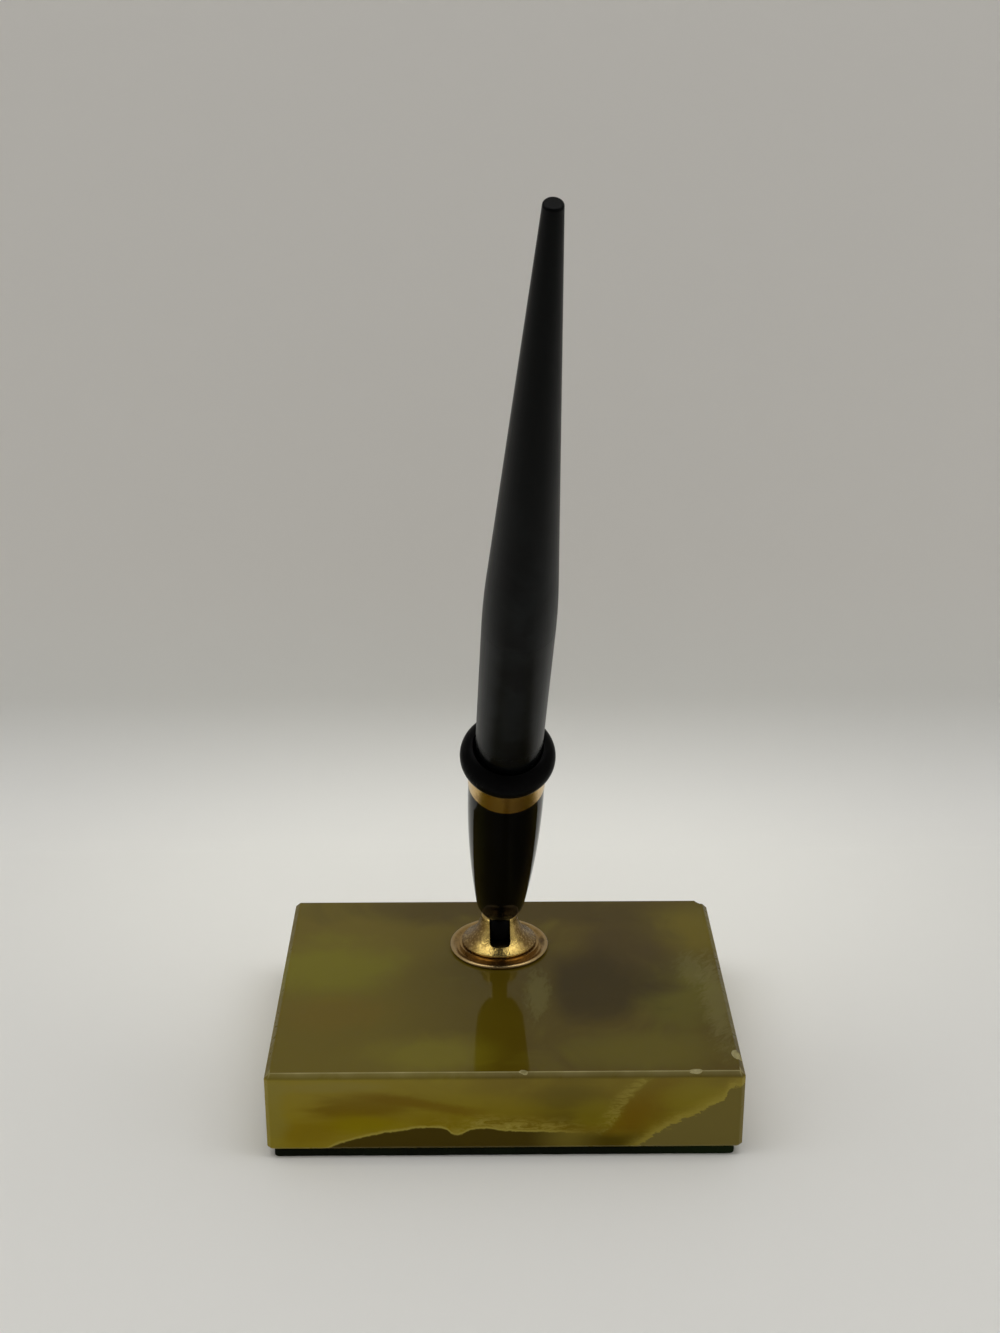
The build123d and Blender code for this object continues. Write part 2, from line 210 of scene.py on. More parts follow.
def lay_zone(tree, colour, zone, first, second, ragged, where=1.0):
    """Lays a tint over an oval zone, with an edge that noise makes ragged, where another mask shows it."""
    first_middle, second_middle, first_reach, second_reach, tint, share = zone
    along = calculate(tree, "DIVIDE", minus(tree, first, first_middle), first_reach)
    over = calculate(tree, "DIVIDE", minus(tree, second, second_middle), second_reach)
    distance = calculate(tree, "SQRT", plus(tree, product(tree, along, along), product(tree, over, over)))
    mask = between(tree, plus(tree, distance, ragged), 1.25, 0.35)
    return mix(tree, product(tree, mask, share, where), colour, tint)


# Onyx: a clear olive stone with clouds in its top, and amber over a dark layer in its front

# Zones of the top: middle across and deep, reach across and deep, tint and share
top_clouds = [
    (-0.039, 0.005, 0.017, 0.015, rgb(113, 109, 12), 0.6),
    (-0.037, -0.013, 0.013, 0.009, rgb(106, 86, 14), 0.5),
    (-0.017, -0.030, 0.017, 0.008, rgb(114, 105, 22), 0.7),
    (0.030, -0.029, 0.020, 0.009, rgb(97, 88, 18), 0.7),
    (0.045, 0.023, 0.014, 0.014, rgb(106, 94, 10), 0.65),
    (0.038, -0.006, 0.011, 0.018, rgb(92, 86, 14), 0.7),
    (0.030, 0.012, 0.013, 0.018, rgb(62, 48, 14), 0.7),
    (0.000, 0.034, 0.045, 0.010, rgb(64, 51, 10), 0.7),
]
# The dark patch to the right of the socket, and where its clean left edge starts and is full
dark_patch = (0.020, -0.003, 0.017, 0.016, rgb(56, 44, 2), 0.9)
dark_patch_left = 0.0092
dark_patch_full = 0.0142
# Pale wisps in the top: the same values, and the direction of their hairs
top_wisps = [
    (0.0078, -0.006, 0.0032, 0.011, rgb(112, 106, 54), 0.45, 1.4),
    (0.0480, -0.010, 0.0036, 0.020, rgb(118, 112, 62), 0.42, 0.9),
    (0.0440, 0.004, 0.0040, 0.008, rgb(110, 104, 58), 0.35, 0.9),
]
# Zones of the front: middle across and up, reach across and up, tint and share
front_clouds = [
    (0.014, 0.0140, 0.010, 0.0080, rgb(98, 83, 12), 0.7),
    (-0.0295, 0.0125, 0.016, 0.0042, rgb(122, 97, 2), 0.95),
    (-0.029, 0.0088, 0.010, 0.0028, rgb(144, 126, 2), 0.8),
    (-0.043, 0.0060, 0.008, 0.0040, rgb(136, 113, 12), 0.7),
    (-0.014, 0.0100, 0.012, 0.0035, rgb(132, 109, 4), 0.7),
    (-0.006, 0.0120, 0.016, 0.0050, rgb(141, 124, 20), 0.6),
    (0.0195, 0.0110, 0.006, 0.0050, rgb(134, 119, 20), 0.6),
    (0.0190, 0.0038, 0.013, 0.0034, rgb(80, 66, 6), 0.9),
    (0.040, 0.0150, 0.009, 0.0050, rgb(138, 122, 20), 0.85),
    (-0.0495, 0.0110, 0.004, 0.0140, rgb(144, 131, 54), 0.7),
    (-0.036, 0.0180, 0.012, 0.0016, rgb(146, 130, 54), 0.7),
]
# Lines in the front: shares of its width from the left, and of its height from the bottom
dark_layer = [(0.0, 0.0), (0.105, 0.0), (0.149, 0.09), (0.205, 0.186), (0.26, 0.246), (0.351, 0.304),
              (0.376, 0.281), (0.399, 0.2), (0.42, 0.243), (0.455, 0.29), (0.5, 0.257), (1.0, 0.257)]
grey_layer = [(0.0, 0.0), (0.75, 0.0), (0.82, 0.22), (0.86, 0.36), (0.93, 0.56), (0.957, 0.67), (0.97, 0.79),
              (1.0, 0.85)]
brown_streak = [(0.0, 0.9), (0.236, 0.71), (0.36, 0.58), (0.445, 0.5), (1.0, 0.4)]
# The vein in the front: shares of its height from the bottom, and of its width from the left
pale_vein = [(0.0, 0.66), (0.24, 0.715), (0.5, 0.742), (0.76, 0.772), (1.0, 0.82)]
# Bands round the sides: noise where each starts and is full, share and tint
side_tints = [
    (0.42, 0.56, 0.45, rgb(120, 100, 22)),
    (0.52, 0.36, 0.75, rgb(86, 71, 14)),
    (0.58, 0.68, 0.6, rgb(150, 137, 66)),
]


def line_at(tree, share, points):
    """A smooth line in the stone: its second value at each share of the first."""
    made = add(tree, "FloatCurve", {"Value": share})
    curve = made.mapping.curves[0]
    while len(curve.points) < len(points):
        curve.points.new(0.5, 0.5)
    for point, location in zip(curve.points, points):
        point.location = location
        point.handle_type = "AUTO"
    made.mapping.update()
    return made.outputs[0]


def hairs(tree, place, turn):
    """Fine noise drawn out along one direction in the top."""
    turned = add(tree, "Mapping", {"Vector": place, "Rotation": (0, 0, -turn)}).outputs[0]
    return cloud(tree, stretched(tree, turned, 0.4, 1.0, 1.0), 700, detail=4, rough=0.65, twist=0.8)


def top_colour(tree, place, x, y, near_top):
    """Olive that darkens to the right, with clouds, the dark patch and wisps."""
    broad = cloud(tree, place, 26, detail=3, twist=0.4)
    soft = cloud(tree, place, 60, detail=3, rough=0.55, twist=0.8)
    edge = centred(tree, soft, 1.3)
    rightward = plus(tree, between(tree, x, -0.034, 0.006), centred(tree, broad, 0.8), clamp=True)
    colour = mix(tree, rightward, rgb(98, 85, 18), rgb(80, 66, 10))
    colour = mix(tree, product(tree, between(tree, soft, 0.52, 0.75), 0.35), colour, rgb(100, 90, 22))
    for zone in top_clouds:
        colour = lay_zone(tree, colour, zone, x, y, edge)
    ragged_x = plus(tree, x, centred(tree, soft, 0.006))
    right_of_edge = between(tree, ragged_x, dark_patch_left, dark_patch_full)
    colour = lay_zone(tree, colour, dark_patch, x, y, edge, right_of_edge)
    for *zone, turn in top_wisps:
        colour = lay_zone(tree, colour, zone, x, y, centred(tree, hairs(tree, place, turn), 1.9), near_top)
    return colour


def front_colour(tree, place, x, z, across, height, front, colour):
    """Amber, streaks and layers laid over the stone's colour where it faces the front."""
    soft = cloud(tree, place, 130, detail=3, rough=0.55, twist=0.6)
    fine = cloud(tree, place, 520, detail=4, rough=0.65, twist=0.6)
    streak = cloud(tree, stretched(tree, place, 30, 30, 190), 1.0, detail=3, rough=0.55, twist=0.6)
    fleck = cloud(tree, stretched(tree, place, 0.5, 0.5, 1.5), 650, detail=5, rough=0.7, twist=1.0)
    wisp = between(tree, fleck, 0.36, 0.68)
    for zone in front_clouds:
        colour = lay_zone(tree, colour, zone, x, z, centred(tree, streak, 1.8), front)
    haze = product(tree, between(tree, height, 0.3, 0.95), front, 0.2)
    colour = mix(tree, haze, colour, rgb(150, 141, 92))
    level = plus(tree, height, centred(tree, fine, 0.05))
    level = plus(tree, level, centred(tree, soft, 0.05))

    # The brown streak across the left half
    off_streak = calculate(tree, "ABSOLUTE", minus(tree, level, line_at(tree, across, brown_streak)))
    streak_ends = product(tree, between(tree, across, 0.5, 0.4), between(tree, across, 0.12, 0.36))
    brown = product(tree, between(tree, off_streak, 0.10, 0.02), streak_ends, front, 0.5)
    colour = mix(tree, brown, colour, rgb(114, 80, 6))

    # The vein, amber to its right and pale to its left
    aside = plus(tree, across, centred(tree, fine, 0.03))
    right_of_vein = minus(tree, aside, line_at(tree, height, pale_vein))
    amber_width = product(
        tree, between(tree, right_of_vein, -0.01, 0.012), between(tree, right_of_vein, 0.12, 0.03))
    amber_share = scaled(tree, between(tree, height, 0.95, 0.45), 0.4, 0.22)
    amber = product(tree, amber_width, amber_share, between(tree, height, 0.12, 0.32), front)
    colour = mix(tree, amber, colour, rgb(118, 86, 4))
    pale_width = product(
        tree, between(tree, right_of_vein, -0.045, -0.008), between(tree, right_of_vein, 0.004, -0.006))
    pale = product(tree, pale_width, wisp, between(tree, height, 0.1, 0.4), front, 0.75)
    colour = mix(tree, pale, colour, rgb(172, 158, 72))

    # Layers: line, where it shows, height and share of its pale rim, feathering, tint below it
    feathery = between(tree, across, 0.3, 0.5)
    layers = (
        (dark_layer, between(tree, across, 0.72, 0.54), 0.045, 1.0, 0.0, rgb(76, 62, 12)),
        (grey_layer, between(tree, across, 0.74, 0.79), 0.15, 0.65, 0.22, rgb(121, 108, 53)),
    )
    for line, shown, rim_height, rim_share, feather, under in layers:
        above = minus(tree, level, line_at(tree, across, line))
        above = plus(tree, above, centred(tree, fleck, feather))
        thin_rim = between(tree, above, rim_height, 0.005)
        tall_rim = product(tree, between(tree, above, 0.24, 0.02), wisp, feathery)
        rim = product(tree, calculate(tree, "MAXIMUM", thin_rim, tall_rim), shown, front, rim_share)
        colour = mix(tree, rim, colour, rgb(176, 160, 70))
        below = product(tree, between(tree, above, 0.012, -0.012), shown, front)
        colour = mix(tree, below, colour, under)
    return colour


def side_colour(tree, place, side, colour):
    """Level bands and amber patches laid over the stone's colour round its sides."""
    level = cloud(tree, stretched(tree, place, 22, 22, 150), 1.0, detail=4, rough=0.6, twist=0.7)
    patch = cloud(tree, stretched(tree, place, 35, 35, 60), 1.0, twist=0.5)
    for start, full, share, tint in side_tints:
        colour = mix(tree, product(tree, between(tree, level, start, full), side, share), colour, tint)
    return mix(tree, product(tree, between(tree, patch, 0.5, 0.7), side, 0.5), colour, rgb(126, 98, 8))


def onyx_material(name, wear_and_highlight_share, rough, gloss):
    material, tree, shader = new_material(name, Specular_IOR_Level=gloss)
    low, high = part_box("onyx_base")
    half = (high - low) / 2
    place = object_place(tree)
    parts = separate(tree, place)
    x, y, z = parts["X"], parts["Y"], parts["Z"]
    across = add(tree, "MapRange", {"Value": x, "From Min": low.x, "From Max": high.x}).outputs[0]
    height = add(tree, "MapRange", {"Value": z, "From Min": low.z, "From Max": high.z}).outputs[0]
    near_top = between(tree, z, high.z - 0.005, high.z - 0.001)
    colour = top_colour(tree, place, x, y, near_top)

    # Painted glow: the sides' colour is brightened, standing in for light that the stone lets through
    from_side = minus(tree, half.x, calculate(tree, "ABSOLUTE", x))
    from_front_or_back = minus(tree, half.y, calculate(tree, "ABSOLUTE", y))
    inward = calculate(tree, "MINIMUM", from_side, from_front_or_back)
    below_top = between(tree, z, high.z - 0.0008, high.z - 0.0014)
    side = product(tree, between(tree, inward, 0.0012, 0.0003), below_top)
    painted_glow = scaled(tree, side, 1.5, 1.0)
    colour = add(tree, "VectorMath", {0: colour, "Scale": painted_glow}, operation="SCALE").outputs[0]

    # The front's layers turn the corners and end raggedly a little way along the sides
    ragged = cloud(tree, stretched(tree, place, 60, 60, 130), 1.0, detail=4, rough=0.6, twist=0.6)
    depth = product(tree, minus(tree, y, low.y), scaled(tree, ragged, 4.0, -1.0))
    front = product(tree, between(tree, depth, 0.016, 0.002), side)
    colour = side_colour(tree, place, minus(tree, side, front, clamp=True), colour)
    colour = front_colour(tree, place, x, z, across, height, front, colour)

    # The front edges are pale, the upper one most: wear with a painted highlight
    upper_edge = between(tree, z, high.z - 0.0012, high.z - 0.0002)
    lower_edge = product(tree, between(tree, z, low.z + 0.0012, low.z + 0.0004), 0.5)
    near_front = between(tree, y, low.y + 0.003, low.y + 0.0017)
    uneven_wear_and_highlight = product(tree, cloud(tree, stretched(tree, place, 1, 0, 0), 110, detail=3), 2)
    edges = calculate(tree, "MAXIMUM", upper_edge, lower_edge)
    wear_and_highlight = product(tree, edges, near_front, uneven_wear_and_highlight, wear_and_highlight_share)
    colour = mix(tree, wear_and_highlight, colour, rgb(178, 168, 118))
    uneven_polish = cloud(tree, place, 420, detail=4, rough=0.6, twist=0.5)
    paint(tree, shader, colour, product(tree, uneven_polish, 2 * rough))
    return material


def chipped_material():
    """Fresh breaks in the stone: pale, dull and sugary."""
    material, tree, shader = new_material("chipped_onyx", Roughness=0.6)
    grain = cloud(tree, object_place(tree), 1800, detail=3, rough=0.6)
    paint(tree, shader, mix(tree, grain, rgb(116, 106, 54), rgb(182, 172, 122)))
    bump(tree, shader, grain, 0.0001, 0.6)
    return material


# Metals: gilt and aluminium tarnished in patches and finely pitted, and plain steel

def worn_metal(name, bright, dull, tarnish, rough, pits):
    material, tree, shader = new_material(name, Metallic=1.0)
    place = object_place(tree)
    patch = cloud(tree, place, 260, detail=4, rough=0.6, twist=0.6)
    speck = cloud(tree, place, 1500, detail=3, rough=0.6)
    colour = mix(tree, between(tree, patch, 0.6 - tarnish, 0.8 - tarnish / 2), bright, dull)
    colour = mix(tree, product(tree, between(tree, speck, 0.6, 0.72), 0.5), colour, dull)
    paint(tree, shader, colour, scaled(tree, patch, rough, rough / 3))
    bump(tree, shader, speck, pits, 0.5)
    return material


def from_axis(tree, name):
    """The level offset of each place from the middle of a round piece."""
    low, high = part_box(name)
    middle = (low + high) / 2
    offset = add(
        tree, "VectorMath", {0: object_place(tree), 1: (middle.x, middle.y, 0)}, operation="SUBTRACT")
    return stretched(tree, offset.outputs[0], 1, 1, 0)


def laid_over(material, factor, colour):
    """Lays a colour over the one that a material has."""
    tree = material.node_tree
    shader = tree.nodes["Principled BSDF"]
    present = shader.inputs["Base Color"].links[0].from_socket
    paint(tree, shader, mix(tree, factor, present, colour))
    return material


def bell_material():
    """Gilt, bright beside the slot and at the shoulder, with painted shade round the sides, brown and
    speckled.
    """
    material = worn_metal(
        "bell_gilt", bright=(0.55, 0.39, 0.12, 1), dull=(0.27, 0.17, 0.04, 1), tarnish=0.14, rough=0.3,
        pits=0.00022)
    tree = material.node_tree
    low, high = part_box("swivel_cup")
    place = object_place(tree)
    facing = add(tree, "VectorMath", {0: from_axis(tree, "swivel_cup")}, operation="NORMALIZE").outputs[0]
    toward_slot = product(tree, separate(tree, facing)["Y"], -1)
    ragged = centred(tree, cloud(tree, place, 700, detail=4, rough=0.65), 0.5)
    speckle = between(tree, cloud(tree, place, 1700, detail=3, rough=0.7), 0.48, 0.66)
    brown = mix(tree, speckle, (0.16, 0.09, 0.03, 1), (0.5, 0.35, 0.14, 1))
    shoulder = between(tree, separate(tree, place)["Z"], (low.z + high.z) / 2, high.z)
    # Painted shade: the sides away from the slot's front turn brown, less so at the shoulder
    painted_side_shade = between(tree, plus(tree, toward_slot, ragged), 0.85, 0.5)
    return laid_over(material, product(tree, painted_side_shade, scaled(tree, shoulder, -0.5, 0.9)), brown)


def ring_material():
    """Brown gilt, with a painted highlight on the bead round its edge."""
    material = worn_metal(
        "ring_gilt", bright=(0.36, 0.23, 0.08, 1), dull=(0.13, 0.075, 0.025, 1), tarnish=0.16, rough=0.28,
        pits=0.00008)
    tree = material.node_tree
    low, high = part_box("trim_ring")
    edge = (high.x - low.x) / 2
    out = add(tree, "VectorMath", {0: from_axis(tree, "trim_ring")}, operation="LENGTH").outputs["Value"]
    # Painted highlight: a brighter band on the bead round the edge
    bead_highlight = product(tree, between(tree, out, edge - 0.0011, edge - 0.0006), 0.8)
    return laid_over(material, bead_highlight, (0.5, 0.36, 0.17, 1))


def steel_material():
    material, tree, shader = new_material("steel", Metallic=1.0)
    place = object_place(tree)
    patch = cloud(tree, place, 300, detail=3)
    colour = mix(tree, patch, (0.42, 0.41, 0.4, 1), (0.62, 0.61, 0.6, 1))
    paint(tree, shader, colour, product(tree, patch, 0.7))
    bump(tree, shader, cloud(tree, stretched(tree, place, 1, 1, 8), 900), 0.0001, 0.4)
    return material


# Black pieces: polished trumpet, satin pen, plain inner pieces and rubber

plain_black = (0.002, 0.002, 0.002, 1)


def black_material(name, wear_and_sheen, rough, rough_spread, grain, gloss, dark=plain_black, shaded_by=None):
    """Black with patches of wear and painted sheen and fine lines along it; painted shade, unworn and
    smoother, where another piece shades it.
    """
    material, tree, shader = new_material(name, Specular_IOR_Level=gloss)
    place = along_pen(tree)
    patch = cloud(tree, place, 110, detail=3, rough=0.55, twist=0.4)
    lines = cloud(tree, stretched(tree, place, 1, 1, 0.04), 2600)
    # Patches of wear; on the satin pen their bluish colour is painted sheen
    wear_and_sheen_share = between(tree, patch, 0.4, 0.75)
    rough_here = scaled(tree, plus(tree, patch, lines), rough_spread, rough - rough_spread)
    if shaded_by:
        shade_top = max(pen_axis.dot(vertex.co) for vertex in nodes[shaded_by].data.vertices)
        along = separate(tree, place)["Z"]
        # Painted shade: plain black and smoother up to just above the top of the piece that shades it
        painted_lip_shade = between(tree, along, shade_top + 0.007, shade_top - 0.001)
        # The patches lie only on the lower barrel, fading out towards the tail
        lower_barrel = between(tree, along, shade_top + 0.1, shade_top + 0.03)
        wear_and_sheen_share = product(tree, wear_and_sheen_share, lower_barrel, minus(tree, 1.0, painted_lip_shade))
        rough_here = product(tree, rough_here, scaled(tree, painted_lip_shade, -0.75, 1.0))
    paint(tree, shader, mix(tree, wear_and_sheen_share, dark, wear_and_sheen), rough_here)
    bump(tree, shader, lines, grain, 0.35)
    return material


def felt_material():
    """Dark matted fibres, greener to the right."""
    material, tree, shader = new_material("felt", Roughness=0.95, Specular_IOR_Level=0.1)
    place = object_place(tree)
    fibre = cloud(tree, stretched(tree, place, 1.0, 1.0, 0.6), 2400, detail=4, rough=0.7, twist=1.5)
    patch = cloud(tree, place, 90)
    rightward = separate(tree, place)["X"]
    colour = mix(tree, fibre, rgb(6, 8, 4), rgb(30, 36, 20))
    colour = mix(tree, product(tree, between(tree, patch, 0.45, 0.7), 0.5), colour, rgb(24, 34, 18))
    colour = mix(tree, product(tree, between(tree, rightward, 0.02, 0.05), 0.5), colour, rgb(34, 50, 20))
    paint(tree, shader, colour)
    bump(tree, shader, fibre, 0.0004, 0.8)
    return material


# Each finish, and the nodes that wear it

finishes = {
    "gilt": worn_metal(
        "gilt", bright=(0.78, 0.53, 0.17, 1), dull=(0.4, 0.25, 0.08, 1), tarnish=0.05, rough=0.2,
        pits=0.00003),
    "bell_gilt": bell_material(),
    "band_gilt": worn_metal(
        "band_gilt", bright=(0.56, 0.36, 0.1, 1), dull=(0.36, 0.21, 0.06, 1), tarnish=0.1, rough=0.24,
        pits=0.00002),
    "ring_gilt": ring_material(),
    # Painted shade: a darker copy of the gilt for the plinth beneath the bell's rim
    "shaded_brown_gilt": worn_metal(
        "shaded_brown_gilt", bright=(0.4, 0.26, 0.1, 1), dull=(0.13, 0.08, 0.03, 1), tarnish=0.14, rough=0.3,
        pits=0.0001),
    "onyx": onyx_material("onyx", wear_and_highlight_share=0.0, rough=0.07, gloss=0.19),
    "side_onyx": onyx_material("side_onyx", wear_and_highlight_share=0.0, rough=0.07, gloss=0.03),
    # Edge finishes: wear with a painted highlight along the front edges
    "worn_highlit_onyx": onyx_material("worn_highlit_onyx", wear_and_highlight_share=0.52, rough=0.35, gloss=0.08),
    "ground_onyx": onyx_material("ground_onyx", wear_and_highlight_share=0.22, rough=0.35, gloss=0.08),
    "chipped_onyx": chipped_material(),
    "steel": steel_material(),
    # Blackened steel, kept dark also as painted shade, so that the slot inside the bell stays black
    "blackened": black_material(
        "blackened", wear_and_sheen=(0.005, 0.005, 0.005, 1), rough=0.5, rough_spread=0.1, grain=0.00005, gloss=0.05),
    "black_gloss": black_material(
        "black_gloss", wear_and_sheen=(0.003, 0.003, 0.003, 1), rough=0.06, rough_spread=0.03, grain=0.00001,
        gloss=0.031),
    "black_dull": black_material(
        "black_dull", wear_and_sheen=(0.003, 0.003, 0.003, 1), rough=0.3, rough_spread=0.08, grain=0.00002,
        gloss=0.024),
    # The satin pen's bluish patches are painted sheen on its lower barrel
    "black_satin": black_material(
        "black_satin", wear_and_sheen=(0.006, 0.0075, 0.0078, 1), rough=0.32, rough_spread=0.1, grain=0.00003,
        gloss=0.065, dark=(0.0006, 0.0008, 0.0008, 1), shaded_by="trumpet_lip"),
    "black_plain": black_material(
        "black_plain", wear_and_sheen=(0.02, 0.02, 0.02, 1), rough=0.5, rough_spread=0.1, grain=0.00004, gloss=0.3),
    "rubber": black_material(
        "rubber", wear_and_sheen=(0.03, 0.028, 0.026, 1), rough=0.65, rough_spread=0.1, grain=0.00006, gloss=0.3),
    "aluminium": worn_metal(
        "aluminium", bright=(0.42, 0.42, 0.41, 1), dull=(0.3, 0.3, 0.29, 1), tarnish=0.1, rough=0.4,
        pits=0.00003),
}
worn_by = {
    "onyx": ["onyx_base"],
    "gilt": ["nib"],
    "bell_gilt": ["swivel_cup"],
    "band_gilt": ["trumpet_band"],
    "ring_gilt": ["trim_ring"],
    "shaded_brown_gilt": ["spring_housing"],
    "steel": ["flat_washer", "lock_washer", "fixing_nut", "cup_retainer", "stem_washer", "stem_nut"],
    "blackened": ["swivel_ball", "disc_springs", "friction_saucer"],
    "black_gloss": ["trumpet_body", "grip_section"],
    "black_dull": ["trumpet_lip"],
    "black_satin": ["pen_barrel", "pen_tail"],
    "black_plain": ["socket_liner", "feed", "tail_plug", "felt_pad"],
    "rubber": ["ink_sac", "barrel_seal"],
    "aluminium": ["sac_guard", "filler_tube"],
}
for finish, names in worn_by.items():
    for name in names:
        nodes[name].data.materials.clear()
        nodes[name].data.materials.append(finishes[finish])


# Helpers for meshes

def new_object(name, data):
    made = bpy.data.objects.new(name, data)
    bpy.context.scene.collection.objects.link(made)
    return made


def from_bmesh(name, shape):
    mesh = bpy.data.meshes.new(name)
    shape.to_mesh(mesh)
    shape.free()
    return mesh


def join_rings(shape, rings):
    """Closes a stack of rings into a solid, and gives the faces between the rings row by row."""
    rows = []
    for lower, upper in zip(rings, rings[1:]):
        row = []
        for index in range(len(lower)):
            after = (index + 1) % len(lower)
            row.append(shape.faces.new((lower[index], lower[after], upper[after], upper[index])))
        rows.append(row)
    shape.faces.new(list(reversed(rings[0])))
    shape.faces.new(rings[-1])
    return rows


# Felt pad: a thin sheet with a slightly wavy cut edge

def felt_outline(half):
    """Evenly spaced points round a rectangle with round corners."""
    outline = []
    for quarter in range(4):
        centre_x = (half.x - felt_corner) * (1 if quarter in (0, 3) else -1)
        centre_y = (half.y - felt_corner) * (1 if quarter in (0, 1) else -1)
        for step in range(felt_corner_steps + 1):
            turn = (quarter + step / felt_corner_steps) * pi / 2
            x = centre_x + felt_corner * cos(turn)
            y = centre_y + felt_corner * sin(turn)
            outline.append(Vector((x, y, 0)))
    points = []
    for here, there in zip(outline, outline[1:] + outline[:1]):
        count = max(1, round((there - here).length / felt_point_spacing))
        points += [here.lerp(there, index / count) for index in range(count)]
    return points


def felt_piece():
    low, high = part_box("felt_pad")
    middle = (low + high) / 2
    points = felt_outline((high - low) / 2)
    # The edge's profile: how far in, and how high
    profile = ((0.00005, 0.0), (0.0, 0.0003), (0.0, 0.001), (0.0001, 0.0016), (0.0003, high.z))
    rings = []
    shape = bmesh.new()
    for inset, height in profile:
        ring = []
        for point in points:
            ripple = felt_ripple * (0.3 + 0.6 * noise.noise(point * 90) + 0.4 * noise.noise(point * 400))
            inward = point.normalized() * (inset + max(0.0, ripple))
            ring.append(shape.verts.new(middle.xy.to_3d() + point - inward + Vector((0, 0, height))))
        rings.append(ring)
    join_rings(shape, rings)
    mesh = from_bmesh("felt", shape)
    mesh.materials.append(felt_material())
    piece = new_object("felt", mesh)
    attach(piece, "base")
    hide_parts("felt_pad")


felt_piece()


# Onyx slab: the bevelled block with softened edges, its drilled hole, and the chips along its edges

slab_finishes = ["onyx", "worn_highlit_onyx", "ground_onyx", "side_onyx"]


def bevelled_block(low, high):
    """A block with bevelled edges, its upright corners cut off and all its edges softened."""
    middle = (low + high) / 2
    half = (high - low) / 2
    levels = ((slab_edge_bevel, low.z), (0, low.z + slab_edge_bevel), (0, high.z - slab_top_bevel),
              (slab_top_bevel, high.z))
    shape = bmesh.new()
    rings = []
    for inset, height in levels:
        across, deep = half.x - inset, half.y - inset
        # Each corner's face moves in as far as the sides do, so its cut narrows
        cut = slab_edge_bevel - inset * (2 - 2 ** 0.5)
        corners = [(across - cut, -deep), (across, cut - deep), (across, deep - cut), (across - cut, deep),
                   (cut - across, deep), (-across, deep - cut), (-across, cut - deep), (cut - across, -deep)]
        rings.append([shape.verts.new((middle.x + x, middle.y + y, height)) for x, y in corners])
    bevel_below, walls, bevel_above = join_rings(shape, rings)
    for face in bevel_below + walls + bevel_above:
        face.material_index = slab_finishes.index("ground_onyx")
    for face in walls[1::2]:
        face.material_index = slab_finishes.index("side_onyx")
    bmesh.ops.bevel(
        shape, geom=list(shape.edges), offset=slab_softness, segments=3, profile=0.5, affect="EDGES",
        clamp_overlap=True, material=slab_finishes.index("worn_highlit_onyx"))
    return from_bmesh("onyx_slab", shape)


def cylinder(name, centre, radius, low, high):
    shape = bmesh.new()
    place = Matrix.Translation((centre.x, centre.y, (low + high) / 2))
    bmesh.ops.create_cone(
        shape, cap_ends=True, segments=64, radius1=radius, radius2=radius, depth=high - low, matrix=place)
    return new_object(name, from_bmesh(name, shape))


def rough_lump(name, centre, reach, seed):
    """A faceted lump that breaks a chip out of an edge."""
    shape = bmesh.new()
    bmesh.ops.create_icosphere(shape, subdivisions=3, radius=1.0)
    for vert in shape.verts:
        swell = 1 + 0.35 * noise.noise(vert.co * 1.4 + Vector((seed * 7.1, 0, 0)))
        vert.co = Vector(centre) + vert.co * Vector(reach) * swell
    return new_object(name, from_bmesh(name, shape))


def cut_away(piece, cutters):
    """Cuts each cutter out of a piece, which takes on the cutter's material there."""
    for cutter in cutters:
        cut = piece.modifiers.new(cutter.name, "BOOLEAN")
        cut.object = cutter
        cut.operation = "DIFFERENCE"
        cut.solver = "EXACT"
        cut.material_mode = "TRANSFER"
    bpy.context.view_layer.update()
    piece.data = bpy.data.meshes.new_from_object(piece.evaluated_get(bpy.context.evaluated_depsgraph_get()))
    piece.modifiers.clear()
    for cutter in cutters:
        bpy.data.objects.remove(cutter)


def slab_piece():
    low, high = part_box("onyx_base")
    washer_low, washer_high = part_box("flat_washer")
    socket = (washer_low + washer_high) / 2
    mesh = bevelled_block(low, high)
    for finish in slab_finishes:
        mesh.materials.append(finishes[finish])
    piece = new_object("onyx_slab", mesh)
    drilled = [
        cylinder("hole", socket, hole_radius, low.z - cutter_overrun, high.z + cutter_overrun),
        cylinder("recess", socket, recess_radius, low.z - cutter_overrun, low.z + recess_depth),
    ]
    # Chips: name, middle, reach and the seed of its shape
    chips = [
        rough_lump("front_nick", (0.0039, low.y + 0.0009, high.z + 0.0005), (0.0012, 0.001, 0.001), 1),
        rough_lump("front_flake", (0.0403, low.y + 0.0009, high.z + 0.0003), (0.0019, 0.0009, 0.0008), 2),
        rough_lump("side_chip", (high.x - 0.0008, low.y + 0.007, high.z), (0.0015, 0.0019, 0.001), 3),
        rough_lump("far_corner", (high.x + 0.0006, high.y + 0.0006, high.z), (0.0034, 0.0034, 0.0034), 4),
    ]
    for cutter in drilled:
        cutter.data.materials.append(finishes["onyx"])
    for cutter in chips:
        cutter.data.materials.append(finishes["chipped_onyx"])
    cut_away(piece, drilled + chips)
    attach(piece, "base")
    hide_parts("onyx_base")


slab_piece()


# Stage: a wide pale floor and a backdrop that curves up from it, both clear from behind

def strip(name, profile, reach, material):
    """A surface that carries a profile of places deep and up from side to side."""
    shape = bmesh.new()
    left, right = ([shape.verts.new((x, y, z)) for y, z in profile] for x in (-reach, reach))
    for index in range(len(profile) - 1):
        face = shape.faces.new((left[index], right[index], right[index + 1], left[index + 1]))
        face.smooth = True
    mesh = from_bmesh(name, shape)
    mesh.materials.append(material)
    new_object(name, mesh)


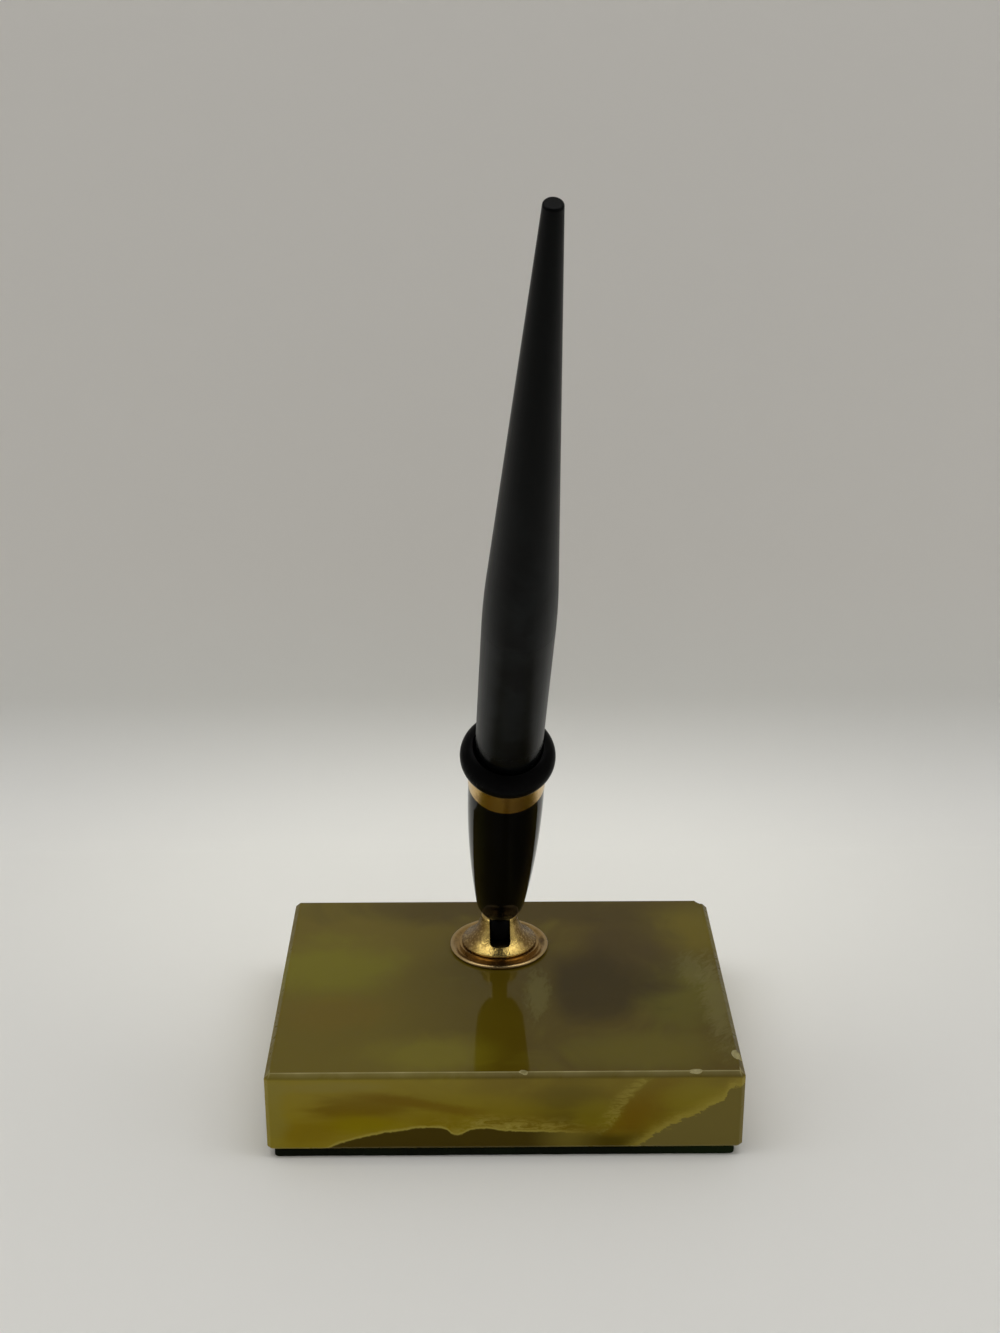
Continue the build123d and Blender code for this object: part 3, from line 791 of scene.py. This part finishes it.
def paper_material():
    """Pale paper with a painted pool of light behind the slab, that can be seen through from behind."""
    material, tree, shader = new_material("pale_paper", Roughness=0.7)
    place = object_place(tree)
    parts = separate(tree, place)
    # Painted light: a brighter pool on the floor behind the slab
    painted_light_pool = (0, 0.085, 0.14, 0.09, (0.925, 0.92, 0.87, 1), 1.0)
    shade = mix(tree, cloud(tree, place, 3), (0.785, 0.78, 0.745, 1), (0.805, 0.80, 0.77, 1))
    near_floor = between(tree, parts["Z"], 0.05, 0.0)
    shade = lay_zone(tree, shade, painted_light_pool, parts["X"], parts["Y"], 0.0, near_floor)
    up_wall = between(tree, parts["Z"], 0.02, 0.08)
    shade = mix(tree, up_wall, shade, (0.79, 0.768, 0.73, 1))
    paint(tree, shader, shade)
    behind = add(tree, "NewGeometry").outputs["Backfacing"]
    clear = add(tree, "BsdfTransparent").outputs[0]
    shown = add(tree, "MixShader", {0: behind, 1: shader.outputs[0], 2: clear}).outputs[0]
    tree.links.new(shown, tree.nodes["Material Output"].inputs["Surface"])
    return material


def stage():
    bend_start = wall_distance - bend_radius
    curve = []
    for step in range(bend_steps + 1):
        turn = step / bend_steps * pi / 2
        curve.append((bend_start + bend_radius * sin(turn), floor_height + bend_radius * (1 - cos(turn))))
    level = [(deep, floor_height) for deep in (-floor_reach, bend_start, floor_reach)]
    paper = paper_material()
    strip("floor", level, floor_reach, paper)
    strip("backdrop", curve + [(wall_distance, wall_height)], wall_reach, paper)


stage()


# Light and camera

def overhead_light():
    lamp = bpy.data.lights.new("overhead", "AREA")
    lamp.shape = "RECTANGLE"
    lamp.size = light_width
    lamp.size_y = light_depth
    lamp.energy = light_watts
    new_object("overhead", lamp).location = (0.0, 0.0, light_height)


def room():
    """Soft light that comes mostly from the two sides."""
    world = bpy.data.worlds.new("room")
    world.use_nodes = True
    tree = world.node_tree
    background = tree.nodes["Background"]
    background.inputs["Color"].default_value = (1.0, 0.99, 0.97, 1)
    across = separate(tree, add(tree, "TexCoord").outputs["Generated"])["X"]
    level = scaled(tree, product(tree, across, across), 0.55, 0.13)
    tree.links.new(level, background.inputs["Strength"])
    bpy.context.scene.world = world


def viewer():
    camera = bpy.data.cameras.new("camera")
    camera.sensor_fit = "VERTICAL"
    camera.sensor_height = camera_sensor_height
    camera.lens = camera_lens
    camera.clip_start = 0.01
    level = cos(camera_pitch)
    forward = Vector((sin(camera_yaw) * level, cos(camera_yaw) * level, -sin(camera_pitch)))
    right = Vector((cos(camera_yaw), -sin(camera_yaw), 0))
    turn = Matrix((right, right.cross(forward), -forward)).transposed().to_4x4()
    made = new_object("camera", camera)
    made.matrix_world = Matrix.Translation(camera_place) @ turn
    bpy.context.scene.camera = made


overhead_light()
room()
viewer()
bpy.context.scene.view_settings.view_transform = "Standard"
